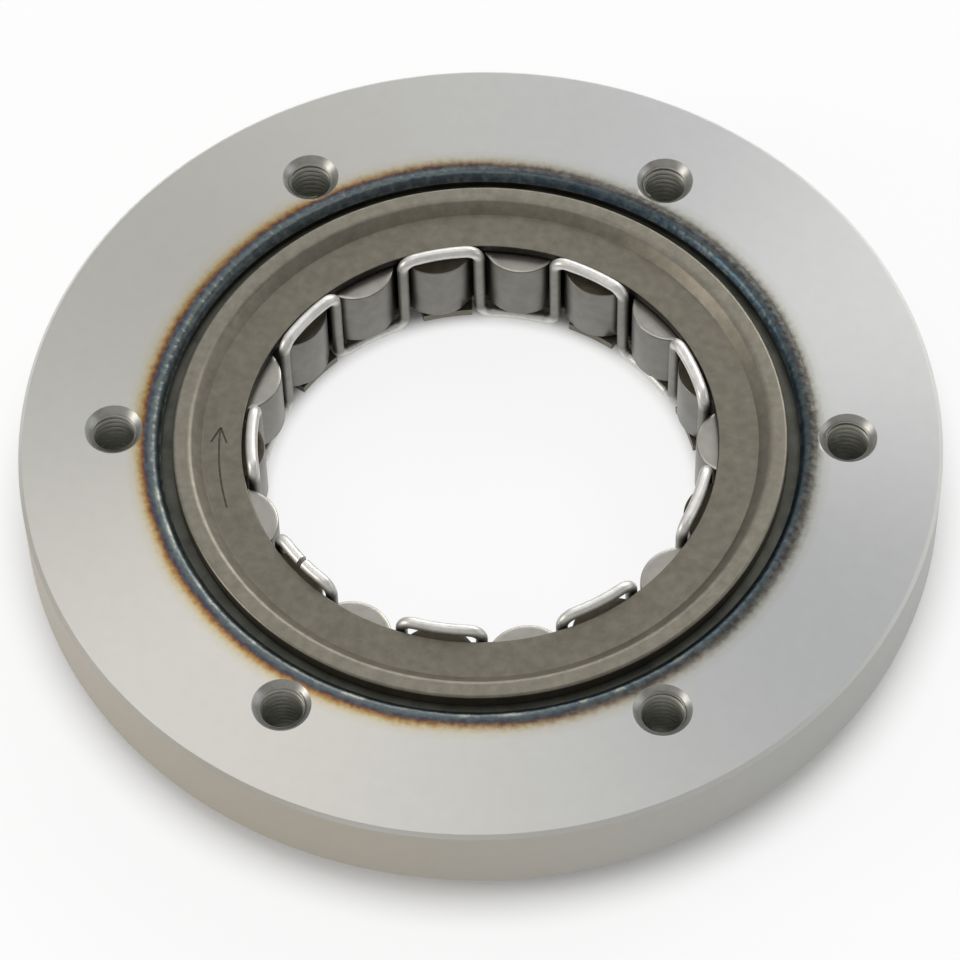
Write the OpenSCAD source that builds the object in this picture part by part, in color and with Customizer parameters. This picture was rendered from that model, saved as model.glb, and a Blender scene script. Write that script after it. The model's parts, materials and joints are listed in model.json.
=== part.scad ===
// Starter clutch: a one-way roller clutch welded into a bolt-on flange.
// The origin is the centre of the flange's front face, and +Z points out of
// that face along the clutch's axis. All sizes are in millimetres.

/* [Rollers] */
// Number of rollers, an even number because the cage wire alternates
roller_count = 18; // [12:2:24]
// Diameter of a roller
roller_d = 11; // [8:0.1:14]
// Length of a roller
roller_l = 9.9; // [7:0.1:16]
// Bevel on a roller's end edges
roller_bevel = 0.45; // [0.1:0.05:0.8]
// Gap between neighbouring rollers
roller_gap = 1; // [0.8:0.05:2]
// Play between a roller's end and a cover
end_play = 0.35; // [0.1:0.05:0.8]
// Angle of the first roller about the axis
first_roller = 1.8; // [-10:0.1:10]

/* [Outer ring] */
// Wedge angle of a ramp where the locked roller touches it
ramp_angle = 7; // [5:0.25:9]
// Extra depth of a ramp at its open end
ramp_rise = 0.35; // [0.3:0.01:0.6]
// Running clearance between a roller and its ramp
ramp_clearance = 0.1; // [0.05:0.01:0.15]
// Wall of the ring behind the deepest point of a ramp
ring_wall = 3.1; // [2.8:0.1:6]
// Thickness of the thin lip that the weld runs along
lip_t = 0.6; // [0.4:0.05:1]
// Depth of the lip's edge below the flange's face
lip_drop = 0.9; // [0.6:0.05:1.2]
// Width of the open groove between the lip and the front cover
groove_w = 1.6; // [1:0.1:2]
// Depth of the register that locates a cover
register_depth = 0.3; // [0.1:0.05:0.5]
// Radial clearance of a cover in its register
register_clearance = 0.05; // [0.02:0.01:0.1]
// Length of the spigot that stands out behind the flange
spigot_l = 2; // [1:0.1:3]
// Radial step from the seat in the flange down to the spigot
spigot_step = 0.5; // [0.45:0.05:0.7]
// Bevel on the ring's rear edge
ring_bevel = 0.4; // [0.2:0.05:0.5]

/* [Flange] */
// Diameter of a mounting hole
bolt_hole_d = 6; // [4:0.5:10]
// Width of the countersink round a mounting hole
bolt_bevel = 0.9; // [0.4:0.05:1.5]
// Number of mounting holes
bolt_count = 6; // [3:1:8]
// Metal left between the weld and a countersink
bolt_land = 0.2; // [0.1:0.1:4]
// Metal left between a mounting hole and the rim
rim_land = 9.7; // [4:0.1:20]
// Bevel on the flange's outer edges
flange_bevel = 0.5; // [0.2:0.1:1.5]
// Radial clearance of the ring in the flange's bore
bore_clearance = 0.02; // [0.01:0.01:0.05]

/* [Weld] */
// Width of the weld bead on the flange, which is also the depth of its groove
weld_w = 1.7; // [1:0.1:2.5]
// Height of the bead's crown over the straight line between its edges
weld_crown = 0.45; // [0.2:0.05:0.6]

/* [Covers] */
// Thickness of the pressed steel sheet
sheet_t = 1.2; // [0.8:0.05:1.5]
// Height of the front cover's rim above the flange's face
rim_proud = 0.2; // [0:0.05:1]
// Width of the raised rim
rim_w = 2.3; // [2:0.1:3]
// Width of the slope from the rim down to the flat
slope_w = 1.6; // [1:0.1:2.5]
// Depth of the flat below the rim
dish_depth = 1.4; // [0.6:0.05:2]
// Length of the skirt that stands on the ring
skirt_l = 2.3; // [1.8:0.05:3]
// Radius on the rim's outer edge
rim_fillet = 0.7; // [0.2:0.05:1]
// Gap between a cover's bore and the cage wire
cover_gap = 0.5; // [0.35:0.05:1]
// Clearance of the rear cover's stop tabs from the hub
tab_clearance = 0.65; // [0.3:0.05:0.8]
// Gap left between a stop tab and the cage wire at either end of the travel
tab_gap = 0.33; // [0.2:0.01:0.6]

/* [Cage spring] */
// Diameter of the wire
wire_d = 1.6; // [1.2:0.05:1.8]
// Centreline radius of the wire's bends
bend_r = 1.8; // [1.2:0.1:2.4]
// Distance from the hub's surface to the wire
wire_inset = 0.85; // [0.4:0.05:1.2]
// Distance from a roller's end to the middle of the wire across it
wire_reach = 2.15; // [1.7:0.05:5]
// Gap between the wire's two ends
wire_end_gap = 0.7; // [0.3:0.1:1.5]
// Which of the front bars holds the wire's two ends, counted from zero
end_bar = 5; // [0:1:5]
// Turn of the cage between locked and released
cage_travel = 2.5; // [1:0.1:3]

/* [Hidden] */
$fn = 64;
step = 360 / roller_count;
// Radii from the axis outwards; the pitch radius is rounded to a twentieth of a millimetre
pitch_r = round((roller_d + roller_gap) / 2 / sin(step / 2) * 20) / 20;
hub_r = pitch_r - roller_d / 2;
wire_r = hub_r + wire_inset + wire_d / 2;
leg_r = norm([wire_r, bend_r]);
cover_bore_r = wire_r + wire_d / 2 + cover_gap;
ramp_top_r = pitch_r + roller_d / 2 + ramp_rise;
ring_r = ramp_top_r + ring_wall;
spigot_r = ring_r - spigot_step;
groove_r = ring_r - lip_t;
rim_out_r = groove_r - groove_w;
rim_in_r = rim_out_r - rim_w;
slope_foot_r = rim_in_r - slope_w;
flange_bore_r = ring_r + bore_clearance;
weld_r = ring_r + weld_w;
bolt_circle_r = weld_r + bolt_land + bolt_bevel + bolt_hole_d / 2;
flange_r = bolt_circle_r + bolt_hole_d / 2 + rim_land;
// Heights, from the front cover's rim down; the clutch is the same on both sides of mid_z
rim_z = rim_proud;
flat_z = rim_z - dish_depth;
seat_z = rim_z - skirt_l;
groove_z = seat_z + register_depth;
roller_top_z = flat_z - sheet_t - end_play;
mid_z = roller_top_z - roller_l / 2;
bar_z = roller_top_z + wire_reach;
ring_rear_z = 2 * mid_z - groove_z;
flange_t = -ring_rear_z - spigot_l;
// The ramp is an arc off the axis: it touches the resting roller at ramp_angle,
// and its radius follows from that and from its depth at the open end
ramp_slack = ramp_rise - ramp_clearance;
ramp_offset = (2 * pitch_r * ramp_slack + pow(ramp_slack, 2))
    / 2 / (pitch_r + ramp_slack - pitch_r * cos(ramp_angle));
ramp_r = ramp_offset + roller_d / 2 + ramp_clearance;
ramp_centre = [pitch_r - ramp_offset * cos(ramp_angle), -ramp_offset * sin(ramp_angle)];
// Angles along the cage
leg_half_angle = asin(wire_d / 2 / leg_r);
bend_angle = atan(bend_r / wire_r);
tab_gap_angle = tab_gap / leg_r * 180 / PI;
cut = 0.5; // how far a cutting body runs past the face that it cuts
ramp_overlap = 0.05; // degrees by which neighbouring ramps overlap
arc_steps = 5;
wire_sides = 8;
bend_steps = 4;
bar_steps = 3;

function two_digits(k) = k < 10 ? str("0", k) : str(k);
function roller_name(k) = str("roller_", two_digits(k));
function roller_angle(k) = first_roller + step * (k - 1);

// Points of an arc that rounds corner b of the path a, b, c
function rounded_corner(a, b, c, r) =
    let (
        u = (a - b) / norm(a - b),
        v = (c - b) / norm(c - b),
        half = acos(u * v) / 2,
        centre = b + (u + v) / norm(u + v) * r / sin(half),
        p = b + u * r / tan(half) - centre,
        q = b + v * r / tan(half) - centre,
        start = atan2(p.y, p.x),
        turn = atan2(cross(p, q), p * q)
    )
    [for (i = [0:arc_steps])
        let (a = start + turn * i / arc_steps)
        centre + r * [cos(a), sin(a)]];

// A closed outline of [x, y, corner radius] entries with its corners rounded
function rounded_outline(path) =
    let (n = len(path), xy = [for (p = path) [p.x, p.y]])
    [for (i = [0:n - 1])
        each path[i].z == 0
            ? [xy[i]]
            : rounded_corner(xy[(i + n - 1) % n], xy[i], xy[(i + 1) % n], path[i].z)];

module revolved(path) {
    rotate_extrude($fn = 128) polygon(rounded_outline(path));
}

// Moves a shape from the front of the clutch to its rear, as a mirror image
module at_rear() {
    translate([0, 0, 2 * mid_z]) mirror([0, 0, 1]) children();
}

module flange() {
    color("#c9c6c0") difference() {
        revolved([
            [flange_bore_r, -flange_t + ring_bevel, 0],
            [flange_bore_r + ring_bevel, -flange_t, 0],
            [flange_r - flange_bevel, -flange_t, 0],
            [flange_r, -flange_t + flange_bevel, 0],
            [flange_r, -flange_bevel, 0],
            [flange_r - flange_bevel, 0, 0],
            [weld_r, 0, 0],
            [flange_bore_r, flange_bore_r - weld_r, 0]
        ]);
        for (i = [0:bolt_count - 1]) {
            rotate([0, 0, 360 / bolt_count * i]) translate([bolt_circle_r, 0, 0]) bolt_hole();
        }
    }
}

// A through hole with a countersink at both faces
module bolt_hole() {
    hole_r = bolt_hole_d / 2;
    translate([0, 0, -flange_t - cut]) cylinder(r = hole_r, h = flange_t + 2 * cut);
    countersink();
    translate([0, 0, -flange_t]) mirror([0, 0, 1]) countersink();
}

// The cone that widens a hole's mouth; its base stands a hair outside the face
module countersink() {
    mouth_r = bolt_hole_d / 2 + bolt_bevel;
    hair = 0.01;
    revolved([[0, hair, 0], [0, -mouth_r, 0], [mouth_r + hair, hair, 0]]);
}

// The bead fills the flange's bevel, covers the ring's lip and slopes into the groove
module weld_bead() {
    inner = [groove_r, -lip_drop];
    outer = [weld_r, 0];
    chord = norm(outer - inner);
    lean = atan2(outer.y - inner.y, outer.x - inner.x);
    crown_r = (pow(chord / 2, 2) + pow(weld_crown, 2)) / 2 / weld_crown;
    half_turn = asin(chord / 2 / crown_r);
    centre = (inner + outer) / 2 + (crown_r - weld_crown) * [sin(lean), -cos(lean)];
    crown_steps = 10;
    crown = [for (i = [0:crown_steps])
        let (a = 90 + lean - half_turn + 2 * half_turn * i / crown_steps)
        centre + crown_r * [cos(a), sin(a)]];
    color("#3a4250") rotate_extrude($fn = 128)
        polygon(concat(crown, [[ring_r, -lip_drop], [ring_r, ring_r - weld_r]]));
}

// The race: a turned ring with one ramp for each roller
module outer_ring() {
    rear_seat_z = 2 * mid_z - seat_z;
    bore_r = pitch_r;
    register_r = rim_out_r + register_clearance;
    color("#6f6b64") difference() {
        revolved([
            [bore_r, rear_seat_z, 0],
            [register_r, rear_seat_z, 0],
            [register_r, ring_rear_z, 0],
            [spigot_r - ring_bevel, ring_rear_z, 0],
            [spigot_r, ring_rear_z + ring_bevel, 0],
            [spigot_r, -flange_t, 0],
            [ring_r, -flange_t, 0],
            [ring_r, -lip_drop, 0],
            [groove_r, -lip_drop, 0],
            [groove_r, groove_z, 0],
            [register_r, groove_z, 0],
            [register_r, seat_z, 0],
            [bore_r, seat_z, 0]
        ]);
        for (k = [1:roller_count]) rotate([0, 0, roller_angle(k)]) ramp();
    }
}

// One ramp is a slice of a cylinder whose centre lies off the clutch's axis.
// Each slice reaches a hair past its neighbour's edge, so that no film is left between them.
module ramp() {
    low_z = ring_rear_z - cut;
    high_z = groove_z + cut;
    near = hub_r;
    far = ring_r / cos(step / 2);
    from = -step / 2 - ramp_overlap;
    to = step / 2;
    translate([0, 0, low_z]) intersection() {
        translate([ramp_centre.x, ramp_centre.y, 0])
            rotate([0, 0, 180]) cylinder(r = ramp_r, h = high_z - low_z, $fn = 180);
        linear_extrude(height = high_z - low_z) polygon([
            near * [cos(from), sin(from)],
            far * [cos(from), sin(from)],
            far * [cos(to), sin(to)],
            near * [cos(to), sin(to)]
        ]);
    }
}

// A pressed steel ring: a flat that keeps the rollers in, a slope, a raised rim and a skirt
module cover() {
    slope_angle = atan(dish_depth / slope_w);
    shift = sheet_t * tan(slope_angle / 2);
    edge_r = 0.3;
    revolved([
        [cover_bore_r, flat_z - sheet_t, edge_r],
        [slope_foot_r + shift, flat_z - sheet_t, 0],
        [rim_in_r + shift, rim_z - sheet_t, 0],
        [rim_out_r - sheet_t, rim_z - sheet_t, 0],
        [rim_out_r - sheet_t, seat_z, 0],
        [rim_out_r, seat_z, 0],
        [rim_out_r, rim_z, rim_fillet],
        [rim_in_r, rim_z, edge_r],
        [slope_foot_r, flat_z, edge_r],
        [cover_bore_r, flat_z, edge_r]
    ]);
}

module front_cover() {
    color("#77726a") cover();
}

// The rear cover also has stop tabs, one under each roller that a front bar crosses
module rear_cover() {
    tab_start = -(step / 2 - leg_half_angle - tab_gap_angle);
    tab_end = step / 2 - leg_half_angle - tab_gap_angle - cage_travel;
    tab_root_r = cover_bore_r + 1;
    color("#77726a") union() {
        at_rear() cover();
        for (k = [2:2:roller_count]) {
            rotate([0, 0, roller_angle(k) + tab_start])
                translate([0, 0, 2 * mid_z - flat_z])
                    rotate_extrude(angle = tab_end - tab_start, $fn = 128)
                        translate([hub_r + tab_clearance, 0])
                            square([tab_root_r - hub_r - tab_clearance, sheet_t]);
        }
    }
}

// The cage is one bent wire: it crosses the even rollers at the front and the rest at the rear.
// It is swept ring by ring, from one of its ends in a front bar right round to the other.
module cage_spring() {
    first = 2 * (end_bar + 1);
    gap = wire_end_gap / 2 / wire_r * 180 / PI;
    rings = concat(
        [wire_ring(bar_point(roller_angle(first) + gap, 1), roller_angle(first) + gap, 0, 1)],
        [for (k = [first:first + roller_count - 1]) each half_wave(k)],
        [wire_ring(bar_point(roller_angle(first) - gap, 1), roller_angle(first) - gap, 0, 1)]
    );
    last = len(rings) - 1;
    faces = concat(
        [[for (j = [wire_sides - 1:-1:0]) j]],
        [for (i = [0:last - 1]) for (j = [0:wire_sides - 1]) each side_faces(i, j)],
        [[for (j = [0:wire_sides - 1]) last * wire_sides + j]]
    );
    color("#b9b6b0") polyhedron(points = [for (ring = rings) each ring], faces = faces);
}

// The two triangles between corners j and j + 1 of rings i and i + 1
function side_faces(i, j) =
    let (a = i * wire_sides + j, b = i * wire_sides + (j + 1) % wire_sides)
    [[a, b, b + wire_sides], [a, b + wire_sides, a + wire_sides]];

function outward(angle) = [cos(angle), sin(angle), 0];
function onward(angle) = [-sin(angle), cos(angle), 0];

// A point on the middle of a bar; side is 1 at the front and -1 at the rear
function bar_point(angle, side) = wire_r * outward(angle) + [0, 0, mid_z + side * (bar_z - mid_z)];

// The direction across the wire in the plane of a bend, after it has turned by bend
function across(angle, bend, side) = cos(bend) * [0, 0, 1] + side * sin(bend) * onward(angle);

// One ring of corners round the wire
function wire_ring(centre, angle, bend, side) =
    [for (j = [0:wire_sides - 1])
        let (a = 360 * j / wire_sides)
        centre + wire_d / 2 * (cos(a) * outward(angle) + sin(a) * across(angle, bend, side))];

// The wire from the bar over roller k, down the leg after it and into the next bar
function half_wave(k) =
    let (
        side = k % 2 == 0 ? 1 : -1,
        half = step / 2 - bend_angle,
        leaves = roller_angle(k) + half,
        arrives = roller_angle(k + 1) - half,
        down = bar_point(leaves, side) - [0, 0, side * bend_r],
        along = bar_point(arrives, -side) + [0, 0, side * bend_r],
        a = roller_angle(k) + half / bar_steps,
        b = roller_angle(k + 1) - half / bar_steps
    )
    concat(
        [wire_ring(bar_point(a, side), a, 0, side)],
        [for (i = [0:bend_steps])
            let (bend = 90 * i / bend_steps)
            wire_ring(down + side * bend_r * across(leaves, bend, side), leaves, bend, side)],
        [for (i = [bend_steps:-1:0])
            let (bend = 90 * i / bend_steps)
            wire_ring(along - side * bend_r * across(arrives, bend, side), arrives, bend, side)],
        [wire_ring(bar_point(b, -side), b, 0, side)]
    );

module roller(k) {
    r = roller_d / 2;
    low_z = roller_top_z - roller_l;
    color("#807d75") rotate([0, 0, roller_angle(k)]) translate([pitch_r, 0, 0]) revolved([
        [0, low_z, 0],
        [r - roller_bevel, low_z, 0],
        [r, low_z + roller_bevel, 0],
        [r, roller_top_z - roller_bevel, 0],
        [r - roller_bevel, roller_top_z, 0],
        [0, roller_top_z, 0]
    ]);
}

flange();
weld_bead();
outer_ring();
front_cover();
rear_cover();
cage_spring();
for (k = [1:roller_count]) {
    roller(k);
}
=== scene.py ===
# %% [markdown]
# # A starter clutch in its bolt-on flange
#
# A starter clutch joins a small electric motor to an engine and lets go once the engine runs by itself.
# Eighteen rollers lie in a ring, between a hub and shallow ramps. One way round they roll free, and the
# other way they wedge. A bent wire keeps them apart, two pressed covers keep them in, and the ring is
# welded into a flange with six screw holes.
#
# The construction model comes in as a fixed frame: it says where each piece is and how it moves. This
# script makes finer surfaces over it and gives each one its finish. Keeping the two jobs apart means
# that no size can drift while the looks are worked on.

import json
from math import atan2, cos, degrees, hypot, pi, radians, sin, tan

import bmesh
import bpy
from mathutils import Matrix, Quaternion, Vector


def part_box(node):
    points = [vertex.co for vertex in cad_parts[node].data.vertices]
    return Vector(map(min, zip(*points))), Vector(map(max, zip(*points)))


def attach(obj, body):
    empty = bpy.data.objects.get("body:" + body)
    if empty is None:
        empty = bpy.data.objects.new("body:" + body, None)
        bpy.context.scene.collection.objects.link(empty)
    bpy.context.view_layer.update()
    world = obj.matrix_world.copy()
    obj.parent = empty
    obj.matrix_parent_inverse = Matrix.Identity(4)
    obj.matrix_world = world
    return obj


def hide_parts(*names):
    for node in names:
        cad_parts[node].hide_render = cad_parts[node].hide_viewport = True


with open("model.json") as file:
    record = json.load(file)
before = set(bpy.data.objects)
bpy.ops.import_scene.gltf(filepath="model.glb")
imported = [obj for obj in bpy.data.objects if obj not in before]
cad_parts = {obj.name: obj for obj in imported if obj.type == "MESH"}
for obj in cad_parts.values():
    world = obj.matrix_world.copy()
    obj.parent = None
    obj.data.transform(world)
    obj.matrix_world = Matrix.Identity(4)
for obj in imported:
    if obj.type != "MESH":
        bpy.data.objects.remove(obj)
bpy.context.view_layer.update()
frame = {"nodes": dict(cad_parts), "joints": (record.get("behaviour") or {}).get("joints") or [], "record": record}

# %% [markdown]
# ## Sizes
#
# Everything below is worked out in millimetres and turned into Blender's metres at the last moment.
# Where the frame knows a size, it is read from there: from the boxes round the solids, from the
# interfaces in the record, and from the joints, which hold the middle of every roller. Angles run
# anticlockwise from +X, seen from the front.

# %% Read the sizes
MM = 0.001


def box_mm(node):
    low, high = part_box(node)
    return low / MM, high / MM


record = frame["record"]
mounts = {mount["name"]: mount for mount in record["mounts"]}
holes = mounts["mounting_holes"]["dims"]
hole_circle_r = holes["pcd_mm"] / 2
hole_count = holes["count"]
hole_r = holes["hole_r_mm"]
hub_r = mounts["hub_seat"]["dims"]["r_mm"]

flange_low, flange_high = box_mm("flange")
ring_high = box_mm("outer_ring")[1]
cover_low, cover_high = box_mm("front_cover")
rear_low = box_mm("rear_cover")[0]
roller_low, roller_high = box_mm("roller_01")
cage_low, cage_high = box_mm("cage_spring")
flange_r = flange_high.x
face_z = flange_high.z
flange_rear_z = flange_low.z
ring_r = ring_high.x
lip_z = ring_high.z
weld_r = box_mm("weld_bead")[1].x
rim_r = cover_high.x
rim_z = cover_high.z
seat_z = cover_low.z
mid_z = (roller_low.z + roller_high.z) / 2

roller_axes = {}
for joint in frame["joints"]:
    if joint["child"].startswith("roller_"):
        roller_axes[joint["child"]] = Vector(joint["pos_m"]) / MM
roller_names = sorted(roller_axes)
roller_count = len(roller_names)
pitch_r = roller_axes["roller_01"].xy.length
first_angle = degrees(atan2(roller_axes["roller_01"].y, roller_axes["roller_01"].x))
step = 360 / roller_count
print(f"flange {2 * flange_r:.1f} mm across and {face_z - flange_rear_z:.1f} mm thick")
print(f"{roller_count} rollers on a circle of {2 * pitch_r:.1f} mm")

# %% [markdown]
# ## A lathe in code
#
# Most pieces of this clutch are turned or rolled, so they are made as a lathe makes them: an outline of
# radii and heights goes once round the axis. A sharp corner never catches light in a render, and no real
# part has one, so each corner of the outline can carry a small radius.

# %% Round the corners of an outline
def rounded(outline, steps=5):
    """Points (radius, height) of an outline of (radius, height, corner radius)."""
    points = []
    count = len(outline)
    for i, (r, z, corner) in enumerate(outline):
        if not corner:
            points.append((r, z))
            continue
        here = Vector((r, z))
        back = (Vector(outline[i - 1][:2]) - here).normalized()
        ahead = (Vector(outline[(i + 1) % count][:2]) - here).normalized()
        half = back.angle(ahead) / 2
        centre = here + (back + ahead).normalized() * corner / sin(half)
        start = here + back * corner / tan(half) - centre
        end = here + ahead * corner / tan(half) - centre
        turn = start.angle_signed(end)
        for k in range(steps + 1):
            spoke = start.copy()
            spoke.rotate(Matrix.Rotation(-turn * k / steps, 2))
            points.append(tuple(centre + spoke))
    return points


# %% Turn an outline into a piece
def vertex(bm, r, a, z):
    """A vertex at radius r, angle a and height z."""
    return bm.verts.new((r * cos(a) * MM, r * sin(a) * MM, z * MM))


def bridge(bm, pairs, closed=True):
    """Faces between the sections of each pair; closed says that a section runs back to its start."""
    for here, there in pairs:
        last = len(here) if closed else len(here) - 1
        for j in range(last):
            k = (j + 1) % len(here)
            bm.faces.new((here[j], there[j], there[k], here[k]))


def mesh_from(bm, name, outward=True):
    """Ends the building of a mesh; outward turns all its faces to the outside."""
    if outward:
        bmesh.ops.recalc_face_normals(bm, faces=bm.faces)
    mesh = bpy.data.meshes.new(name)
    bm.to_mesh(mesh)
    bm.free()
    return mesh


def finished_object(name, mesh, sharp=30):
    """Links a mesh as an object with smooth faces and crisp edges where it bends by more than sharp."""
    mesh.shade_smooth()
    mesh.set_sharp_from_angle(angle=radians(sharp))
    piece = bpy.data.objects.new(name, mesh)
    bpy.context.scene.collection.objects.link(piece)
    return piece


def turned_mesh(name, points, segments, closed=True):
    """The points go round the axis; an outline that isn't closed gets a flat face at both ends."""
    bm = bmesh.new()
    rings = []
    for i in range(segments):
        rings.append([vertex(bm, r, 2 * pi * i / segments, z) for r, z in points])
    bridge(bm, zip(rings, rings[1:] + rings[:1]), closed)
    if not closed:
        bm.faces.new([ring[0] for ring in reversed(rings)])
        bm.faces.new([ring[-1] for ring in rings])
    return mesh_from(bm, name)


def turned(name, outline, segments):
    return finished_object(name, turned_mesh(name, rounded(outline), segments))


# %% Cut one piece with another
def flat_faces_first(piece):
    """Large flat faces keep their own direction, so the light on them doesn't bend at the edges."""
    weights = piece.modifiers.new("flat faces first", "WEIGHTED_NORMAL")
    weights.keep_sharp = True


def cut_away(piece, cutter, sharp=30, crossing=False):
    """Takes the cutter's shape out of the piece; crossing means that parts of the cutter overlap."""
    difference = piece.modifiers.new("cut", "BOOLEAN")
    difference.operation = "DIFFERENCE"
    difference.solver = "EXACT"
    difference.use_self = crossing
    difference.object = cutter
    depsgraph = bpy.context.evaluated_depsgraph_get()
    mesh = bpy.data.meshes.new_from_object(piece.evaluated_get(depsgraph))
    piece.modifiers.remove(difference)
    piece.data = mesh
    mesh.shade_smooth()
    mesh.set_sharp_from_angle(angle=radians(sharp))
    bpy.data.objects.remove(cutter)
    flat_faces_first(piece)
    print(piece.name, "has", len(mesh.polygons), "faces after the cut")


# %% [markdown]
# ## The flange
#
# The flange is a steel disc, faced and bored on a lathe, then drilled and tapped for six M6 screws. Each
# hole has a countersink, so that the first thread isn't pushed up above the face. Turning it here gives
# the true round edges, and the holes are cut with a turned cutter, as a drill and a countersink would.

# %% Turn the flange
bore_clearance = 0.02
edge_bevel = 0.5
bore_bevel = 0.4
edge_round = 0.12
large_segments = 384
flange = turned(
    "flange_turned",
    [
        (ring_r + bore_clearance, flange_rear_z + bore_bevel, 0),
        (ring_r + bore_clearance + bore_bevel, flange_rear_z, 0),
        (flange_r - edge_bevel, flange_rear_z, edge_round),
        (flange_r, flange_rear_z + edge_bevel, edge_round),
        (flange_r, face_z - edge_bevel, edge_round),
        (flange_r - edge_bevel, face_z, edge_round),
        (weld_r, face_z, 0),
        (ring_r + bore_clearance, face_z - weld_r + ring_r + bore_clearance, 0),
    ],
    segments=large_segments,
)

# %% Drill and countersink the holes
countersink = 0.9
mouth_r = hole_r + countersink
mouth_round = 0.07
past = 1
hole_segments = 72
cutter_profile = rounded(
    [
        (mouth_r + past, flange_rear_z - past, 0),
        (mouth_r + past, flange_rear_z, 0),
        (mouth_r, flange_rear_z, mouth_round),
        (hole_r, flange_rear_z + countersink, mouth_round),
        (hole_r, face_z - countersink, mouth_round),
        (mouth_r, face_z, mouth_round),
        (mouth_r + past, face_z, 0),
        (mouth_r + past, face_z + past, 0),
    ],
    steps=3,
)
hair = 0.003
# The cutter stands out of both faces by a hair, so that its rounded mouth never lies in a face's plane.
cutter_profile = [(r, z + (hair if z > mid_z else -hair)) for r, z in cutter_profile]
print("the cutter's outline has", len(cutter_profile), "points")


def hole_places():
    outward_step = Matrix.Translation((hole_circle_r * MM, 0, 0))
    for i in range(hole_count):
        yield Matrix.Rotation(2 * pi * i / hole_count, 4, "Z") @ outward_step


def at_every_hole(mesh):
    """One mesh with a copy of this one at each of the holes."""
    bm = bmesh.new()
    for place in hole_places():
        copy = mesh.copy()
        copy.transform(place)
        bm.from_mesh(copy)
        bpy.data.meshes.remove(copy)
    return mesh_from(bm, mesh.name + "_all", outward=False)


drill = turned_mesh("drill", cutter_profile, hole_segments, closed=False)
cut_away(flange, finished_object("drills", at_every_hole(drill)))
bpy.data.meshes.remove(drill)
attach(flange, "housing")
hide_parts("flange")

# %% [markdown]
# ## The threads
#
# A tap leaves a ridge that climbs one pitch a turn, so from above each hole shows fine parallel lines. The
# ridge is a bar with a narrow flat crest that follows a helix on the hole's wall and fades out at both
# ends. It is geometry rather than a bump, because the lines change with the light down in the hole.

# %% Wind one thread
thread_pitch = 1.0
thread_depth = 0.32
turn_steps = 36
run_out = 0.35
root_inset = 0.03
crest_half = 0.06
least_height = 0.02
narrow_share = 0.08
wide_share = 0.36
thread_top = face_z - countersink + run_out
thread_foot = flange_rear_z + countersink - run_out


def thread_mesh():
    bm = bmesh.new()
    turns = (thread_top - thread_foot) / thread_pitch
    count = int(turns * turn_steps)
    sections = []
    for i in range(count + 1):
        a = 2 * pi * i / turn_steps
        z = thread_foot + thread_pitch * i / turn_steps
        fade = min(1, i / turn_steps, (count - i) / turn_steps)
        crest = hole_r - max(thread_depth * fade, least_height)
        half = thread_pitch * (narrow_share + wide_share * fade)
        root = hole_r + root_inset
        section = [(root, z - half), (crest, z - crest_half), (crest, z + crest_half), (root, z + half)]
        sections.append([vertex(bm, r, a, h) for r, h in section])
    bridge(bm, zip(sections, sections[1:]))
    bm.faces.new(reversed(sections[0]))
    bm.faces.new(sections[-1])
    return mesh_from(bm, "thread")


threads = finished_object("flange_threads", at_every_hole(thread_mesh()), sharp=50)
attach(threads, "housing")
print("threads:", len(threads.data.polygons), "faces in", hole_count, "holes")

# %% [markdown]
# ## The weld
#
# The ring is joined to the flange by one weld bead all the way round. A bead is laid as a row of small
# pools that freeze one after the other, so its top carries crescent ripples. They are pushed into the
# bead's surface here, with a slow waver in height and width, because no weld is quite even.

# %% Lay the bead
lip_t = 0.6
groove_r = ring_r - lip_t
crown = 0.45
ripple_pitch = 1.45
ripple_height = 0.055
crescent_depth = 0.42
width_waver = 0.05
height_waver = 0.04
bead_segments = 1440
bead_across = 14
crown_power = 1.5
ripple_power = 0.7
phase_waver = 1.3
slow_waves = [(5, 0.4), (13, 2.1), (29, 4.0)]
quick_waves = [(71, 1.0), (113, 3.3), (167, 5.2)]


def crown_point(t):
    """Point (radius, height) on the bead's crown, with t from 0 at the groove to 1 at the flange."""
    inner = Vector((groove_r, lip_z))
    outer = Vector((weld_r, face_z))
    along = outer - inner
    across = Vector((-along.y, along.x)).normalized()
    return inner + along * t + across * crown * sin(pi * t) ** crown_power


def waver(a, waves):
    """A smooth uneven number round the ring, made of waves of (cycles, phase)."""
    return sum(sin(cycles * a + phase) for cycles, phase in waves) / len(waves)


def bead_mesh():
    ripples = round(2 * pi * (groove_r + weld_r) / 2 / ripple_pitch)
    bm = bmesh.new()
    rings = []
    for i in range(bead_segments):
        a = 2 * pi * i / bead_segments
        slow = waver(a, slow_waves)
        quick = waver(a, quick_waves)
        ring = []
        for j in range(bead_across + 1):
            t = j / bead_across
            r, z = crown_point(t)
            swell = 1 - (2 * t - 1) ** 2
            crescent = crescent_depth * (2 * t - 1) ** 2
            phase = ripples * a + 2 * pi * crescent + phase_waver * quick
            saw = (phase / (2 * pi)) % 1
            ripple = ripple_height * swell * (1 - saw) ** ripple_power
            r += width_waver * slow * swell
            z += ripple - ripple_height * swell / 2 + height_waver * quick * swell
            ring.append(vertex(bm, r, a, z))
        ring.append(vertex(bm, ring_r, a, face_z - weld_r + ring_r))
        ring.append(vertex(bm, ring_r, a, lip_z))
        rings.append(ring)
    bridge(bm, zip(rings, rings[1:] + rings[:1]))
    return mesh_from(bm, "weld_rippled")


bead = finished_object("weld_rippled", bead_mesh(), sharp=55)
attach(bead, "housing")
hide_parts("weld_bead")
print("the bead has", len(bead.data.polygons), "faces")

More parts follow.
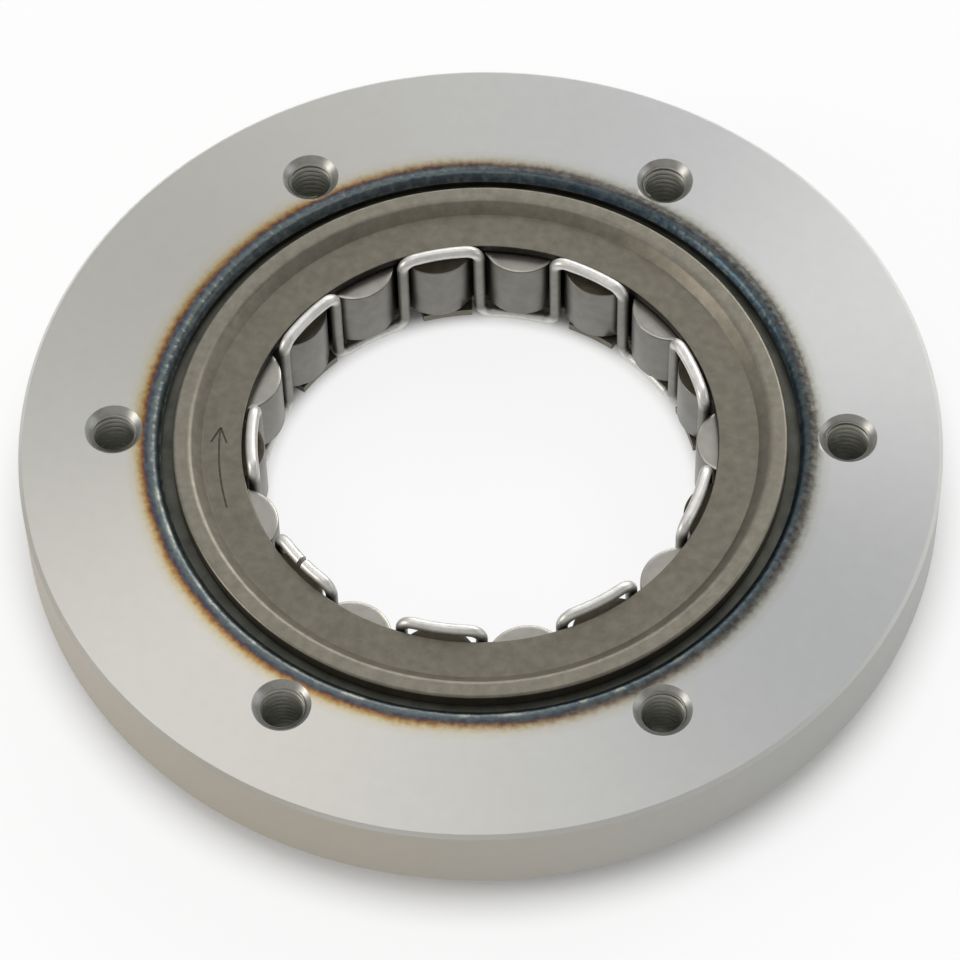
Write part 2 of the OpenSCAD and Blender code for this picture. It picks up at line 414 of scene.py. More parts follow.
# %% [markdown]
# ## The covers
#
# Each cover is a ring of sheet steel, pressed so that a raised rim and a short slope stiffen a flat that
# keeps the rollers in. Pressing rounds the rim's inner edge by about the sheet's thickness, while the foot
# of the slope is struck sharp. Only the front cover is made anew here. The rear cover and the race keep
# their surfaces from the construction model.

# %% Press the front cover
sheet_t = 1.2
rim_w = 2.3
slope_w = 1.6
dish_depth = 1.4
hub_clearance = 2.95
sheared_round = 0.2
cover_bore_r = hub_r + hub_clearance
rim_in_r = rim_r - rim_w
slope_foot_r = rim_in_r - slope_w
flat_z = rim_z - dish_depth
slope_angle = atan2(dish_depth, slope_w)
shift = sheet_t * tan(slope_angle / 2)
cover_outline = [
    (cover_bore_r, flat_z - sheet_t, sheared_round),
    (slope_foot_r + shift, flat_z - sheet_t, 0.5),
    (rim_in_r + shift, rim_z - sheet_t, 0.5),
    (rim_r - sheet_t, rim_z - sheet_t, 0.2),
    (rim_r - sheet_t, seat_z, 0.1),
    (rim_r, seat_z, 0.1),
    (rim_r, rim_z, 0.45),
    (rim_in_r, rim_z, 1.2),
    (slope_foot_r, flat_z, 0.06),
    (cover_bore_r, flat_z, sheared_round),
]
cover = turned("front_cover_pressed", cover_outline, segments=large_segments)

# %% Stamp the arrow
arrow_r = 35.2
arrow_drift = 0.4
arrow_tail = 199
arrow_tip = 178
head_length = 2.6
head_half_angle = 24
stroke = 0.26
stamp_depth = 0.15
stamp_top = 0.5
arc_steps = 24


def stroke_points(points):
    """Outline on both sides of a path in the plane, half a stroke away from it."""
    left, right = [], []
    for i, here in enumerate(points):
        ahead = (points[min(i + 1, len(points) - 1)] - points[max(i - 1, 0)]).normalized()
        side = Vector((-ahead.y, ahead.x)) * stroke / 2
        left.append(here + side)
        right.append(here - side)
    return left + right[::-1]


def arrow_paths():
    on_circle = []
    for i in range(arc_steps + 1):
        t = i / arc_steps
        a = radians(arrow_tail + (arrow_tip - arrow_tail) * t)
        r = arrow_r + arrow_drift * (0.5 - t)
        on_circle.append(r * Vector((cos(a), sin(a))))
    tip = on_circle[-1]
    back = (on_circle[-2] - tip).normalized()
    yield on_circle
    for turn in (-head_half_angle, head_half_angle):
        barb = back.copy()
        barb.rotate(Matrix.Rotation(radians(turn), 2))
        yield [tip - back * stroke / 4, tip + barb * head_length]


def stamp_mesh():
    bm = bmesh.new()
    for path in arrow_paths():
        outline = stroke_points(path)
        low = [bm.verts.new((p.x * MM, p.y * MM, (flat_z - stamp_depth) * MM)) for p in outline]
        high = [bm.verts.new((p.x * MM, p.y * MM, (flat_z + stamp_top) * MM)) for p in outline]
        count = len(outline)
        for i in range(count):
            k = (i + 1) % count
            bm.faces.new((low[i], low[k], high[k], high[i]))
        bm.faces.new(low[::-1])
        bm.faces.new(high)
    return mesh_from(bm, "stamp")


cut_away(cover, finished_object("stamp", stamp_mesh()), crossing=True)
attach(cover, "housing")
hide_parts("front_cover")

# %% [markdown]
# ## The cage wire
#
# One bright steel wire is both cage and spring. It crosses an even roller at the front, dips between two
# rollers, crosses the next one at the rear, and so on right round. Its two ends meet in one front bar. A
# path of points with a round section swept along it is exactly how a wire bender would describe it.

# %% Bend the wire
wire_d = 1.6
bend_r = 1.8
wire_clearance = 0.85
bar_steps = 12
wire_r = hub_r + wire_clearance + wire_d / 2
bar_z = cage_high.z - wire_d / 2
end_bar = 12
end_gap = 0.7


def outward(a):
    return Vector((cos(radians(a)), sin(radians(a)), 0))


def onward(a):
    return Vector((-sin(radians(a)), cos(radians(a)), 0))


def bar_point(a, side):
    return wire_r * outward(a) + Vector((0, 0, mid_z + side * (bar_z - mid_z)))


def bend_points(a, side, entering, steps=9):
    """Quarter turn between a bar at angle a and its leg, towards the leg or back from it."""
    up = Vector((0, 0, side))
    direction = onward(a) * (-1 if entering else 1)
    centre = bar_point(a, side) - bend_r * up
    turns = [pi / 2 * i / steps for i in range(steps + 1)]
    quarter = [centre + bend_r * (cos(t) * up + sin(t) * direction) for t in turns]
    return quarter[::-1] if entering else quarter


def wire_path():
    half = step / 2 - degrees(atan2(bend_r, wire_r))
    gap = degrees(end_gap / 2 / wire_r)
    path = []
    for n in range(roller_count + 1):
        k = end_bar + n
        middle = first_angle + step * (k - 1)
        side = 1 if k % 2 == 0 else -1
        start = middle + gap if n == 0 else middle - half
        stop = middle - gap if n == roller_count else middle + half
        if n > 0:
            path += bend_points(middle - half, side, entering=True)[:-1]
        path += [bar_point(start + (stop - start) * i / bar_steps, side) for i in range(bar_steps + 1)]
        if n < roller_count:
            path += bend_points(middle + half, side, entering=False)[1:]
    return path


def wire_piece(name, path, diameter):
    curve = bpy.data.curves.new(name, "CURVE")
    curve.dimensions = "3D"
    spline = curve.splines.new("POLY")
    spline.points.add(len(path) - 1)
    for point, place in zip(spline.points, path):
        point.co = (*(place * MM), 1)
    curve.bevel_depth = diameter / 2 * MM
    curve.bevel_resolution = 6
    curve.use_fill_caps = True
    holder = bpy.data.objects.new(name, curve)
    mesh = bpy.data.meshes.new_from_object(holder)
    bpy.data.objects.remove(holder)
    return finished_object(name, mesh, sharp=40)


path = wire_path()
cage = wire_piece("cage_wire", path, wire_d)
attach(cage, "cage")
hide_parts("cage_spring")
length = sum((b - a).length for a, b in zip(path, path[1:]))
print(f"the wire is {length:.0f} mm long")

# %% [markdown]
# ## The rollers
#
# The rollers are hardened pins, ground on the outside and slightly relieved at the ends so that their
# edges don't dig into the ramps. Each sits on its own body, because each one spins. Two meshes serve all
# eighteen: odd rollers have a bar of the cage over their rear end and even ones over their front end, so
# the end under the bar gets its painted shade on a different side. A different turn about the axis keeps
# small marks from lining up.

# %% Grind one roller and place it eighteen times
roller_r = (roller_high.y - roller_low.y) / 2
half_length = (roller_high.z - roller_low.z) / 2
end_bevel = 0.18
golden_angle = 2.4
roller_segments = 96
end_points = [(roller_r * 0.02, half_length - 0.05), (roller_r * 0.4, half_length - 0.03)]
shoulder = [
    (roller_r - end_bevel - 0.5, half_length),
    (roller_r - end_bevel, half_length),
    (roller_r - end_bevel * 0.45, half_length - end_bevel * 0.25),
    (roller_r - end_bevel * 0.15, half_length - end_bevel * 0.62),
    (roller_r, half_length - end_bevel * 1.15),
]
upper = end_points + shoulder
lower = [(r, -z) for r, z in reversed(upper)]
odd_mesh = turned_mesh("roller_odd", upper + lower, roller_segments, closed=False)
even_mesh = odd_mesh.copy()
for i, name in enumerate(roller_names):
    mesh = odd_mesh if i % 2 == 0 else even_mesh
    roller = finished_object(name.replace("roller_", "roller_ground_"), mesh, sharp=40)
    roller.rotation_euler.z = golden_angle * i
    roller.location = roller_axes[name] * MM
    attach(roller, name)
    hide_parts(name)
print(f"rollers {2 * roller_r:.1f} mm across and {2 * half_length:.1f} mm long")

# %% [markdown]
# ## Small tools for the finishes
#
# Each finish is a set of shader nodes. The first helper adds one node, sets its options and fills or
# links its sockets, so that a finish reads as a list of steps. Textures work in object coordinates, in
# millimetres, because these pieces have no picture wrapped round them.

# %% Node helpers
def add(tree, kind, inputs=None, **options):
    """Adds a shader node; a socket in inputs is linked, and anything else becomes the socket's value."""
    node = tree.nodes.new("ShaderNode" + kind)
    for name, value in options.items():
        setattr(node, name, value)
    for name, value in (inputs or {}).items():
        if isinstance(value, bpy.types.NodeSocket):
            tree.links.new(value, node.inputs[name])
        else:
            node.inputs[name].default_value = value
    return node


def calc(tree, operation, a, b=0.0, clamp=False):
    return add(tree, "Math", {0: a, 1: b}, operation=operation, use_clamp=clamp).outputs[0]


def between(tree, value, low, high):
    """0 where value is at low, 1 where it is at high, with a smooth step between them."""
    node = add(tree, "MapRange", {"Value": value, "From Min": low, "From Max": high},
               interpolation_type="SMOOTHSTEP")
    return node.outputs["Result"]


def ramp(tree, value, stops):
    """A colour ramp of (position, (r, g, b)) stops."""
    node = add(tree, "ValToRGB", {"Fac": value})
    elements = node.color_ramp.elements
    while len(elements) < len(stops):
        elements.new(1)
    for element, (position, colour) in zip(elements, stops):
        element.position = position
        element.color = (*colour, 1)
    return node.outputs["Color"]


def blend(tree, fac, a, b, mode="MIX"):
    node = add(tree, "Mix", data_type="RGBA", blend_type=mode)
    for socket, value in ((node.inputs[0], fac), (node.inputs[6], a), (node.inputs[7], b)):
        if isinstance(value, bpy.types.NodeSocket):
            tree.links.new(value, socket)
        elif isinstance(value, tuple):
            socket.default_value = (*value, 1)
        else:
            socket.default_value = value
    return node.outputs[2]


# %% Start a finish
def start_finish(name, roughness, metallic=1.0):
    """A material with its shader, and the place on the piece in millimetres."""
    material = bpy.data.materials.new(name)
    material.use_nodes = True
    tree = material.node_tree
    shader = tree.nodes["Principled BSDF"]
    shader.inputs["Metallic"].default_value = metallic
    shader.inputs["Roughness"].default_value = roughness
    place = add(tree, "TexCoord").outputs["Object"]
    place = add(tree, "VectorMath", {0: place, "Scale": 1 / MM}, operation="SCALE").outputs["Vector"]
    return material, tree, shader, place


def grain(tree, place, size, detail=3.0, roughness=0.55):
    """Soft noise whose lumps are about size millimetres across."""
    settings = {"Vector": place, "Scale": 1 / size, "Detail": detail, "Roughness": roughness}
    return add(tree, "TexNoise", settings).outputs["Fac"]


def radius_of(tree, place):
    flat = add(tree, "VectorMath", {0: place, 1: (1, 1, 0)}, operation="MULTIPLY").outputs["Vector"]
    return add(tree, "VectorMath", {0: flat}, operation="LENGTH").outputs["Value"]


def rings_grain(tree, radius, height, width):
    """Noise that only changes with the radius and the height, like the marks of a lathe tool."""
    line = add(tree, "CombineXYZ", {"X": radius, "Y": height}).outputs["Vector"]
    node = add(tree, "TexNoise", {"Vector": line, "Scale": 1 / width, "Detail": 2.0, "Roughness": 0.6})
    return node.outputs["Fac"]


def press_in(tree, shader, height, depth):
    """Bumps the surface by height times depth millimetres."""
    node = add(tree, "Bump", {"Height": height, "Distance": depth * MM, "Strength": 1.0})
    tree.links.new(node.outputs["Normal"], shader.inputs["Normal"])


# %% A plain finish
def mottled_finish(name, roughness, size, dark, light, detail=3.0, bumps=None):
    """A soft mottle between two tones; bumps are the size and depth of a fine texture."""
    material, tree, shader, place = start_finish(name, roughness)
    shade = ramp(tree, grain(tree, place, size, detail=detail), [(0.3, dark), (0.7, light)])
    tree.links.new(shade, shader.inputs["Base Color"])
    if bumps:
        bump_size, bump_depth = bumps
        press_in(tree, shader, grain(tree, place, bump_size, detail=2.0), bump_depth)
    return material


def dress(piece, material):
    piece.data.materials.clear()
    piece.data.materials.append(material)
    print(piece.name, "is dressed in", material.name)


# %% [markdown]
# ## Flange steel
#
# A faced disc keeps very fine grooves that run round its axis. They spread a highlight across
# themselves, so light gathers in two fans that meet at the middle, as on a saucepan's base. Anisotropy
# with a tangent that runs round the axis does that. Beside the weld the heat has left oxide colours:
# blue next to the bead, then purple, brown and straw. They are warmer on one side and reach a little
# further on another.
#
# Two things follow the photograph and no known cause. Painted light and shade makes one side of the face a
# little lighter than the lights alone would, and the opposite side darker. The bevel round the rim is dull, and
# painted paler away from the brightest light, as painted light, so that it draws no hard line.

# %% Heat colours
warm_colours = [
    (-2.0, (0.05, 0.058, 0.062)),
    (-1.5, (0.08, 0.10, 0.11)),
    (-1.15, (0.155, 0.17, 0.165)),
    (-0.75, (0.10, 0.13, 0.14)),
    (-0.4, (0.06, 0.07, 0.10)),
    (-0.1, (0.10, 0.055, 0.055)),
    (0.2, (0.24, 0.125, 0.05)),
    (0.6, (0.40, 0.265, 0.115)),
    (1.0, (0.50, 0.42, 0.265)),
    (1.6, (0.545, 0.51, 0.425)),
    (2.6, (0.56, 0.545, 0.505)),
]
cool_colours = [
    (-2.0, (0.04, 0.045, 0.05)),
    (-1.6, (0.03, 0.055, 0.085)),
    (-1.2, (0.07, 0.10, 0.115)),
    (-0.7, (0.055, 0.06, 0.065)),
    (-0.3, (0.055, 0.047, 0.045)),
    (0.0, (0.09, 0.083, 0.07)),
    (0.3, (0.18, 0.172, 0.145)),
    (0.8, (0.36, 0.352, 0.32)),
    (1.5, (0.49, 0.487, 0.467)),
    (2.6, (0.53, 0.535, 0.53)),
]
warm_side = 190
early_side = 30
# Side of the bead that gets painted highlights.
bead_highlight_side = 230
# Azimuth of the side of the face that gets painted light; the opposite side gets painted shade.
painted_light_azimuth = 262
lit_side = 218
colour_reach = 2.6
wander_mm = 0.9
drift_mm = 0.8
early_mm = 0.4


def towards(tree, place, azimuth):
    """1 on the side of the clutch that lies at this azimuth and -1 on the opposite side."""
    flat = add(tree, "VectorMath", {0: place, 1: (1, 1, 0)}, operation="MULTIPLY").outputs["Vector"]
    spoke = add(tree, "VectorMath", {0: flat}, operation="NORMALIZE").outputs["Vector"]
    side = (cos(radians(azimuth)), sin(radians(azimuth)), 0)
    return add(tree, "VectorMath", {0: spoke, 1: side}, operation="DOT_PRODUCT").outputs["Value"]


def warm_share(tree, place):
    return between(tree, towards(tree, place, warm_side), -0.7, 0.6)


def heat_radius(tree, place, radius):
    """The radius with an uneven edge, because heat never spreads quite evenly."""
    fine = calc(tree, "SUBTRACT", grain(tree, place, 0.9, detail=2.0), 0.5)
    wander = calc(tree, "MULTIPLY", fine, wander_mm)
    coarse = calc(tree, "SUBTRACT", grain(tree, place, 14.0), 0.5)
    drift = calc(tree, "MULTIPLY", coarse, drift_mm)
    early = calc(tree, "MULTIPLY", between(tree, towards(tree, place, early_side), 0.3, 0.9), early_mm)
    return calc(tree, "ADD", calc(tree, "ADD", radius, early), calc(tree, "ADD", wander, drift))


def heat_colours(tree, place, heat):
    """The oxide colours at this distance from the weld, warmer on one side of the clutch."""
    first = warm_colours[0][0]
    span = {"From Min": weld_r + first, "From Max": weld_r + colour_reach}
    reach = add(tree, "MapRange", {"Value": heat, **span}).outputs["Result"]
    warm, cool = (
        ramp(tree, reach, [((at - first) / (colour_reach - first), colour) for at, colour in colours])
        for colours in (warm_colours, cool_colours)
    )
    return blend(tree, warm_share(tree, place), cool, warm)


# %% Flange steel
turned_roughness = 0.42
edge_roughness = 0.8
# Colours of the side walls, darkened as painted shade.
cool_shaded_wall = (0.395, 0.395, 0.38)
warm_shaded_wall = (0.405, 0.37, 0.313)
# Painted light on the bevel: its colour, and how much of it is mixed in.
painted_light_on_bevel = (0.76, 0.755, 0.735)
bevel_light_share = 0.75
lathe_mark_width = 0.35
lathe_mark_depth = 0.004


def painted_light_and_shade(tree, place):
    """Painted light and shade: a grey that lightens one side of the face and darkens the opposite one."""
    facing = {"Value": towards(tree, place, painted_light_azimuth), "From Min": -1.0, "From Max": 1.0}
    side = add(tree, "MapRange", facing).outputs["Result"]
    greys = ((0.05, 0.91), (0.35, 0.98), (0.6, 0.97), (0.95, 1.05))
    return ramp(tree, side, [(at, (grey, grey, grey)) for at, grey in greys])


def broken_edge(tree, radius, up):
    """1 on the bevel round the rim, 0 elsewhere."""
    outside = between(tree, radius, flange_r - 2 * edge_bevel, flange_r - edge_bevel)
    sloping = calc(tree, "MULTIPLY", between(tree, up, 0.97, 0.9), between(tree, up, 0.2, 0.35))
    return calc(tree, "MULTIPLY", outside, sloping)


def flange_colour(tree, place, radius, height, up):
    """Bare steel with its heat colours in front, painted shade on the side walls, a mottle, and painted light and
    shade across the face.
    """
    warm = warm_share(tree, place)
    bare = blend(tree, warm, cool_colours[-1][1], warm_colours[-1][1])
    front = between(tree, height, -1.0, -0.5)
    steel = blend(tree, front, bare, heat_colours(tree, place, heat_radius(tree, place, radius)))
    # Painted shade: the side walls are darker, for the shadowed table that they face.
    steel = blend(tree, between(tree, up, 0.5, 0.3), steel, blend(tree, warm, cool_shaded_wall, warm_shaded_wall))
    mottle = grain(tree, place, 2.2, detail=5.0)
    mottle = ramp(tree, mottle, [(0.3, (0.97, 0.97, 0.97)), (0.7, (1, 1, 1))])
    steel = blend(tree, 1.0, steel, mottle, mode="MULTIPLY")
    # Painted light and shade across the face.
    return blend(tree, 1.0, steel, painted_light_and_shade(tree, place), mode="MULTIPLY")


def flange_finish():
    material, tree, shader, place = start_finish("turned steel, heat tinted at the weld", turned_roughness)
    radius = radius_of(tree, place)
    height = add(tree, "SeparateXYZ", {"Vector": place}).outputs["Z"]
    facing = add(tree, "NewGeometry").outputs["True Normal"]
    up = calc(tree, "ABSOLUTE", add(tree, "SeparateXYZ", {"Vector": facing}).outputs["Z"])
    edge = broken_edge(tree, radius, up)
    extra = calc(tree, "MULTIPLY", edge, edge_roughness - turned_roughness)
    tree.links.new(calc(tree, "ADD", extra, turned_roughness), shader.inputs["Roughness"])
    # Painted light: the dull bevel is made paler away from the lit side, so that it draws no dark line.
    unlit = between(tree, towards(tree, place, lit_side), 0.97, 0.75)
    pale = calc(tree, "MULTIPLY", calc(tree, "MULTIPLY", edge, unlit), bevel_light_share)
    steel = flange_colour(tree, place, radius, height, up)
    tree.links.new(blend(tree, pale, steel, painted_light_on_bevel), shader.inputs["Base Color"])
    shader.inputs["Anisotropic"].default_value = 0.55
    shader.inputs["Anisotropic Rotation"].default_value = 0.25
    tangent = add(tree, "Tangent", direction_type="RADIAL", axis="Z").outputs["Tangent"]
    tree.links.new(tangent, shader.inputs["Tangent"])
    press_in(tree, shader, rings_grain(tree, radius, height, lathe_mark_width), lathe_mark_depth)
    return material


dress(flange, flange_finish())

# %% Steel in the holes
wall_margin = 0.03
mouth_margin = 0.05
flat_enough = 0.95
tapped_steel = mottled_finish(
    "tapped hole", 0.5, 1.5, (0.47, 0.47, 0.43), (0.56, 0.56, 0.515), bumps=(0.3, 0.006)
)
# Painted shade: the countersinks are darker than the face of the flange.
sunk_steel = mottled_finish("countersunk steel", 0.42, 1.0, (0.33, 0.327, 0.31), (0.41, 0.406, 0.385))
dress(threads, tapped_steel)
flange.data.materials.append(tapped_steel)
flange.data.materials.append(sunk_steel)
places = [place.translation for place in hole_places()]
for face in flange.data.polygons:
    from_hole = min((face.center - place).xy.length for place in places) / MM
    if from_hole < mouth_r + mouth_margin and abs(face.normal.z) < flat_enough:
        face.material_index = 1 if from_hole < hole_r + wall_margin else 2

# %% [markdown]
# ## Weld metal
#
# Weld metal that cools in air keeps a thin dark skin of oxide. It runs from steel blue to brown and near
# black, in patches along the bead, and its ripples glint. On one side the top of the bead carries pale spots
# of painted highlight.

# %% Weld metal
oxide_patch = (0.12, 0.135, 0.13)
# Colour of the painted highlights on the bead's ridge.
painted_bead_highlight = (0.33, 0.34, 0.29)


def bead_ridge(tree, radius):
    """1 along the top of the bead, fading out on both sides of it."""
    rise = between(tree, radius, weld_r - 1.9, weld_r - 1.3)
    fall = between(tree, radius, weld_r - 0.7, weld_r - 1.1)
    return calc(tree, "MULTIPLY", rise, fall)


def weld_finish():
    material, tree, shader, place = start_finish("weld metal with its oxide skin", 0.4)
    radius = radius_of(tree, place)
    skin = heat_colours(tree, place, heat_radius(tree, place, radius))
    patches = between(tree, grain(tree, place, 1.3, detail=3.0), 0.42, 0.62)
    skin = blend(tree, calc(tree, "MULTIPLY", patches, 0.5), skin, oxide_patch)
    # Painted highlights: pale spots along the ridge of the bead, on one side only.
    spots = between(tree, grain(tree, place, 2.8, detail=2.0), 0.5, 0.62)
    on_top = calc(tree, "MULTIPLY", bead_ridge(tree, radius), spots)
    near = between(tree, towards(tree, place, bead_highlight_side), -0.1, 0.5)
    share = calc(tree, "MULTIPLY", calc(tree, "MULTIPLY", on_top, near), 0.6)
    tree.links.new(blend(tree, share, skin, painted_bead_highlight), shader.inputs["Base Color"])
    press_in(tree, shader, grain(tree, place, 0.35, detail=2.0), 0.03)
    return material


dress(bead, weld_finish())

# %% [markdown]
# ## Race steel
#
# The ring is hardened all through and then only its working faces are ground. What shows of it, the
# groove between the weld and the cover, keeps the dull olive grey of the furnace and a film of oil.

# %% Race steel
race_steel = mottled_finish(
    "hardened race steel", 0.38, 3.0, (0.06, 0.062, 0.052), (0.105, 0.105, 0.088), bumps=(0.5, 0.006)
)
dress(frame["nodes"]["outer_ring"], race_steel)

# %% [markdown]
# ## Cover steel
#
# The pressed covers are phosphated, which turns steel a matt brownish grey. Rolling and pressing leave a
# fine mottle, and the raised rim is lighter, as handling rubs it first. The stamped arrow stays dark, and
# the sheared edge of the bore is painted nearly black, as painted shade in the gap under the cover.

# %% Cover steel
def cover_finish():
    material, tree, shader, place = start_finish("phosphated cover steel", 0.45)
    mottle = grain(tree, place, 1.6, detail=5.0, roughness=0.65)
    dull = ramp(tree, mottle, [(0.32, (0.15, 0.137, 0.108)), (0.68, (0.197, 0.182, 0.147))])
    rubbed = ramp(tree, mottle, [(0.32, (0.19, 0.174, 0.14)), (0.68, (0.255, 0.236, 0.193))])
    rim = between(tree, radius_of(tree, place), slope_foot_r - 0.4, rim_in_r + 0.4)
    tree.links.new(blend(tree, rim, dull, rubbed), shader.inputs["Base Color"])
    press_in(tree, shader, grain(tree, place, 0.4, detail=3.0), 0.01)
    return material


cover_steel = cover_finish()
dress(cover, cover_steel)
dress(frame["nodes"]["rear_cover"], cover_steel)

# %% Mark and sheared edge
arrow_reach = 1.5
edge_reach = 0.2
steep = 0.8
mark = mottled_finish("stamped mark", 0.6, 0.8, (0.08, 0.072, 0.058), (0.13, 0.12, 0.10))
# Painted shade: the sheared edge of the bore is nearly black, for the shadowed gap under the cover.
sheared = mottled_finish("sheared edge", 0.5, 0.8, (0.03, 0.028, 0.024), (0.055, 0.05, 0.042))
cover.data.materials.append(mark)
cover.data.materials.append(sheared)
stamp_floor = flat_z - stamp_depth * 1.1
stamp_mouth = flat_z - stamp_depth * 0.1
for face in cover.data.polygons:
    x, y, z = face.center / MM
    from_axis = hypot(x, y)
    if abs(from_axis - arrow_r) < arrow_reach and stamp_floor < z < stamp_mouth:
        face.material_index = 1
    elif from_axis < cover_bore_r + edge_reach and abs(face.normal.z) < steep:
        face.material_index = 2

# %% [markdown]
# ## Spring wire and rollers
#
# In the photograph the bars of the wire are bright and its legs between the rollers are duller, and the
# wire's colour paints that in: painted light on the bars, painted shade on the legs. The rollers are ground
# and tumbled, which leaves a satin grey with a few darker rubs. Their ends are painted lighter, as painted
# light, and the end under a bar of the cage is painted nearly black, as painted shade under the bar.

# %% Spring wire
def wire_with_painted_light():
    material, tree, shader, place = start_finish("drawn wire with bright bars", 0.48)
    height = add(tree, "SeparateXYZ", {"Vector": place}).outputs["Z"]
    from_middle = calc(tree, "ABSOLUTE", calc(tree, "SUBTRACT", height, mid_z))
    bar_height = bar_z - mid_z
    # Painted light and shade: the bars get a light colour and the legs between the rollers a dark one.
    on_bar = between(tree, from_middle, bar_height - bend_r, bar_height - 0.4)
    mottle = grain(tree, place, 1.2)
    leg = ramp(tree, mottle, [(0.3, (0.24, 0.236, 0.212)), (0.7, (0.30, 0.296, 0.268))])
    bar = ramp(tree, mottle, [(0.3, (0.66, 0.648, 0.62)), (0.7, (0.78, 0.768, 0.74))])
    tree.links.new(blend(tree, on_bar, leg, bar), shader.inputs["Base Color"])
    press_in(tree, shader, grain(tree, place, 0.3, detail=1.0), 0.004)
    return material


dress(cage, wire_with_painted_light())

# %% Roller steel
def roller_finish(name, roughness, dark, light):
    return mottled_finish(name, roughness, 2.5, dark, light, detail=4.0, bumps=(0.4, 0.004))


body_steel = roller_finish("ground roller steel", 0.36, (0.18, 0.176, 0.158), (0.23, 0.225, 0.205))
# Painted light: the bare ends are a lighter copy of the roller steel.
lit_end_steel = roller_finish("roller end", 0.3, (0.40, 0.38, 0.34), (0.49, 0.467, 0.42))
# Painted shade: the end under a bar of the cage is nearly black.
shaded_end_steel = roller_finish("roller end in painted shade", 0.5, (0.05, 0.043, 0.03), (0.08, 0.068, 0.05))
end_facing = 0.9
# The end under a bar gets painted shade, and the other end painted light.
for mesh, covered_side in ((odd_mesh, -1), (even_mesh, 1)):
    for finish in (body_steel, lit_end_steel, shaded_end_steel):
        mesh.materials.append(finish)
    for face in mesh.polygons:
        if abs(face.normal.z) > end_facing:
            face.material_index = 2 if face.normal.z * covered_side > 0 else 1
    print(mesh.name, "is dressed in", [finish.name for finish in mesh.materials])

# %% [markdown]
# ## The table
#
# The clutch lies on a white table that runs off to a white background. The table is a matt surface, so
# the clutch still throws its soft shadow on it. Some plain white is mixed in for what the camera and the
# reflections see, so it adds no light, and it fades out under the clutch, where the shadow is deep. The
# table lies a hair below the clutch, so that no two faces share one plane.

# %% Table and background
table_gap = 0.02
table_z = (min(cage_low.z, rear_low.z) - table_gap) * MM
table_half = 3.0
glow_share = 0.85
inner_fade = (hub_r + 3, hub_r - 1)
outer_fade = (flange_r - 4, flange_r + 6)


def table_mesh():
    bm = bmesh.new()
    bmesh.ops.create_grid(bm, x_segments=4, y_segments=4, size=table_half)
    bmesh.ops.translate(bm, verts=bm.verts, vec=(0, 0, table_z))
    return mesh_from(bm, "table", outward=False)


def seen_directly(tree):
    """1 for rays that start at the camera or come by a reflection, and 0 for rays that carry light."""
    path = add(tree, "LightPath")
    total = calc(tree, "ADD", path.outputs["Is Camera Ray"], path.outputs["Is Glossy Ray"])
    return calc(tree, "ADD", total, path.outputs["Is Transmission Ray"], clamp=True)


def table_finish():
    material = bpy.data.materials.new("white table")
    material.use_nodes = True
    tree = material.node_tree
    shader = tree.nodes["Principled BSDF"]
    shader.inputs["Roughness"].default_value = 0.9
    shader.inputs["Specular IOR Level"].default_value = 0.0
    shade = ramp(tree, add(tree, "TexNoise", {"Scale": 9.0}).outputs["Fac"],
                 [(0.3, (0.94, 0.94, 0.94)), (0.7, (0.96, 0.96, 0.96))])
    tree.links.new(shade, shader.inputs["Base Color"])
    glow = add(tree, "Emission", {"Color": (1, 1, 1, 1), "Strength": 1.0})
    place = add(tree, "TexCoord").outputs["Object"]
    radius = calc(tree, "MULTIPLY", radius_of(tree, place), 1 / MM)
    inside = between(tree, radius, *inner_fade)
    outside = between(tree, radius, *outer_fade)
    open_table = calc(tree, "MULTIPLY", calc(tree, "ADD", inside, outside), glow_share)
    share = calc(tree, "MULTIPLY", seen_directly(tree), open_table)
    mixed = add(tree, "MixShader", {0: share, 1: shader.outputs[0], 2: glow.outputs[0]})
    tree.links.new(mixed.outputs[0], tree.nodes["Material Output"].inputs["Surface"])
    return material


table = finished_object("table", table_mesh())
dress(table, table_finish())

# %% [markdown]
# ## Light
#
# The light is that of a bright room: pale walls in front and behind, one large soft window behind the
# clutch on the right, a lower light at the left, and weak cards and lamps that fill in. The window and the
# left light matter most, because the grooves of the flange throw each of them into two opposite fans.

# %% Surround
def surround():
    world = bpy.data.worlds.new("pale room")
    world.use_nodes = True
    tree = world.node_tree
    room = tree.nodes["Background"]
    compass = add(tree, "SeparateXYZ", {"Vector": add(tree, "TexCoord").outputs["Generated"]})
    span = {"Value": compass.outputs["Y"], "From Min": -0.9, "From Max": 0.9}
    shade = ramp(tree, add(tree, "MapRange", span).outputs["Result"], [
        (0.0, (0.64, 0.63, 0.61)),
        (0.25, (0.41, 0.40, 0.385)),
        (0.5, (0.125, 0.125, 0.125)),
        (0.75, (0.50, 0.51, 0.515)),
        (1.0, (0.79, 0.80, 0.81)),
    ])
    tree.links.new(shade, room.inputs["Color"])
    white = add(tree, "Background", {"Color": (1, 1, 1, 1), "Strength": 1.0})
    seen = add(tree, "LightPath").outputs["Is Camera Ray"]
    mixed = add(tree, "MixShader", {0: seen, 1: room.outputs[0], 2: white.outputs[0]})
    tree.links.new(mixed.outputs[0], tree.nodes["World Output"].inputs["Surface"])
    bpy.context.scene.world = world


surround()


# %% Windows and ceiling
far = 1.6
close = 0.45


def direction_to(azimuth, elevation):
    """Unit vector from the clutch towards this azimuth and elevation."""
    return Vector((
        cos(radians(elevation)) * cos(radians(azimuth)),
        cos(radians(elevation)) * sin(radians(azimuth)),
        sin(radians(elevation)),
    ))


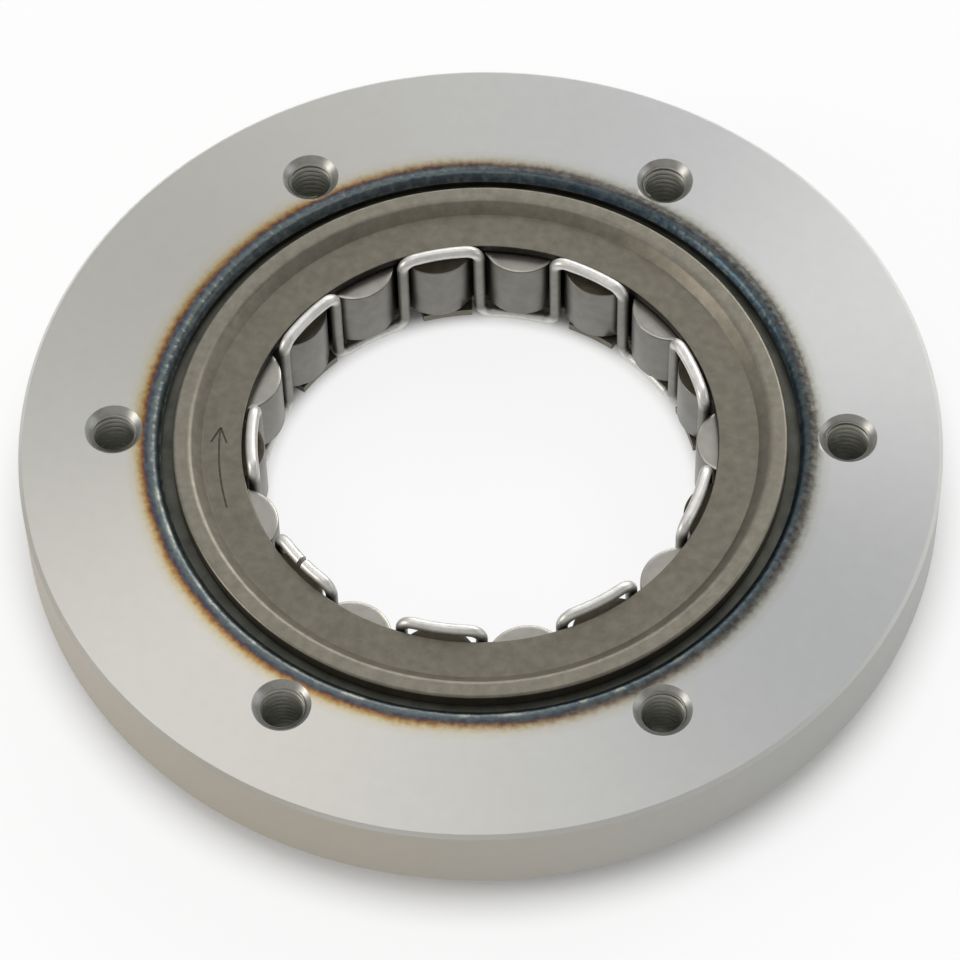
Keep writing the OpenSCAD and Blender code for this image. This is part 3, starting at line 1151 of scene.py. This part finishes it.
def softbox(name, azimuth, elevation, size, power, distance=far, colour=(1, 1, 1)):
    """A soft rectangular light that faces the clutch from this direction."""
    light = bpy.data.lights.new(name, "AREA")
    light.shape = "RECTANGLE"
    light.size, light.size_y = size
    light.energy = power
    light.color = colour
    away = direction_to(azimuth, elevation)
    lamp = bpy.data.objects.new(name, light)
    lamp.location = away * distance
    lamp.rotation_mode = "QUATERNION"
    lamp.rotation_quaternion = away.to_track_quat("Z", "Y")
    bpy.context.scene.collection.objects.link(lamp)


softbox("window", azimuth=58, elevation=33, size=(0.8, 0.7), power=7.9, colour=(1.0, 0.99, 0.97))
softbox("back card", azimuth=95, elevation=25, size=(0.7, 0.7), power=3.2)
softbox("left light", azimuth=190, elevation=20, size=(0.5, 0.5), power=7.4, colour=(1.0, 0.97, 0.92))
softbox("right card", azimuth=0, elevation=16, size=(0.8, 0.7), power=3.0, colour=(0.96, 0.98, 1.0))
softbox("ceiling", azimuth=90, elevation=88, size=(0.8, 0.7), power=2.3)
softbox("near lamp", azimuth=160, elevation=65, size=(0.25, 0.25), power=0.2, distance=close)

# %% [markdown]
# ## Camera
#
# The photograph was taken from the front and above with a fairly long lens. The values come from fitting
# circles of the clutch to their ellipses in the picture. A small roll and a small downward turn put the
# clutch where it is in the frame.

# %% Camera
picture_px = 960
focal_px = 4783.9
camera_azimuth = -87.2325
camera_elevation = 55.9658
camera_distance = 0.64175
camera_roll = -1.6323
origin_below_centre_px = -46.45


def place_camera():
    data = bpy.data.cameras.new("camera")
    data.sensor_width = 36
    data.sensor_fit = "HORIZONTAL"
    data.lens = focal_px / picture_px * data.sensor_width
    direction = direction_to(camera_azimuth, camera_elevation)
    camera = bpy.data.objects.new("camera", data)
    camera.location = direction * camera_distance
    aim = (-direction).to_track_quat("-Z", "Y")
    roll = Quaternion((0, 0, 1), radians(camera_roll))
    tip = Quaternion((1, 0, 0), atan2(origin_below_centre_px, focal_px))
    camera.rotation_mode = "QUATERNION"
    camera.rotation_quaternion = aim @ roll @ tip
    bpy.context.scene.collection.objects.link(camera)
    bpy.context.scene.camera = camera
    print(f"lens {data.lens:.1f} mm at {camera_distance:.3f} m")


place_camera()
bpy.context.scene.view_settings.view_transform = "Standard"
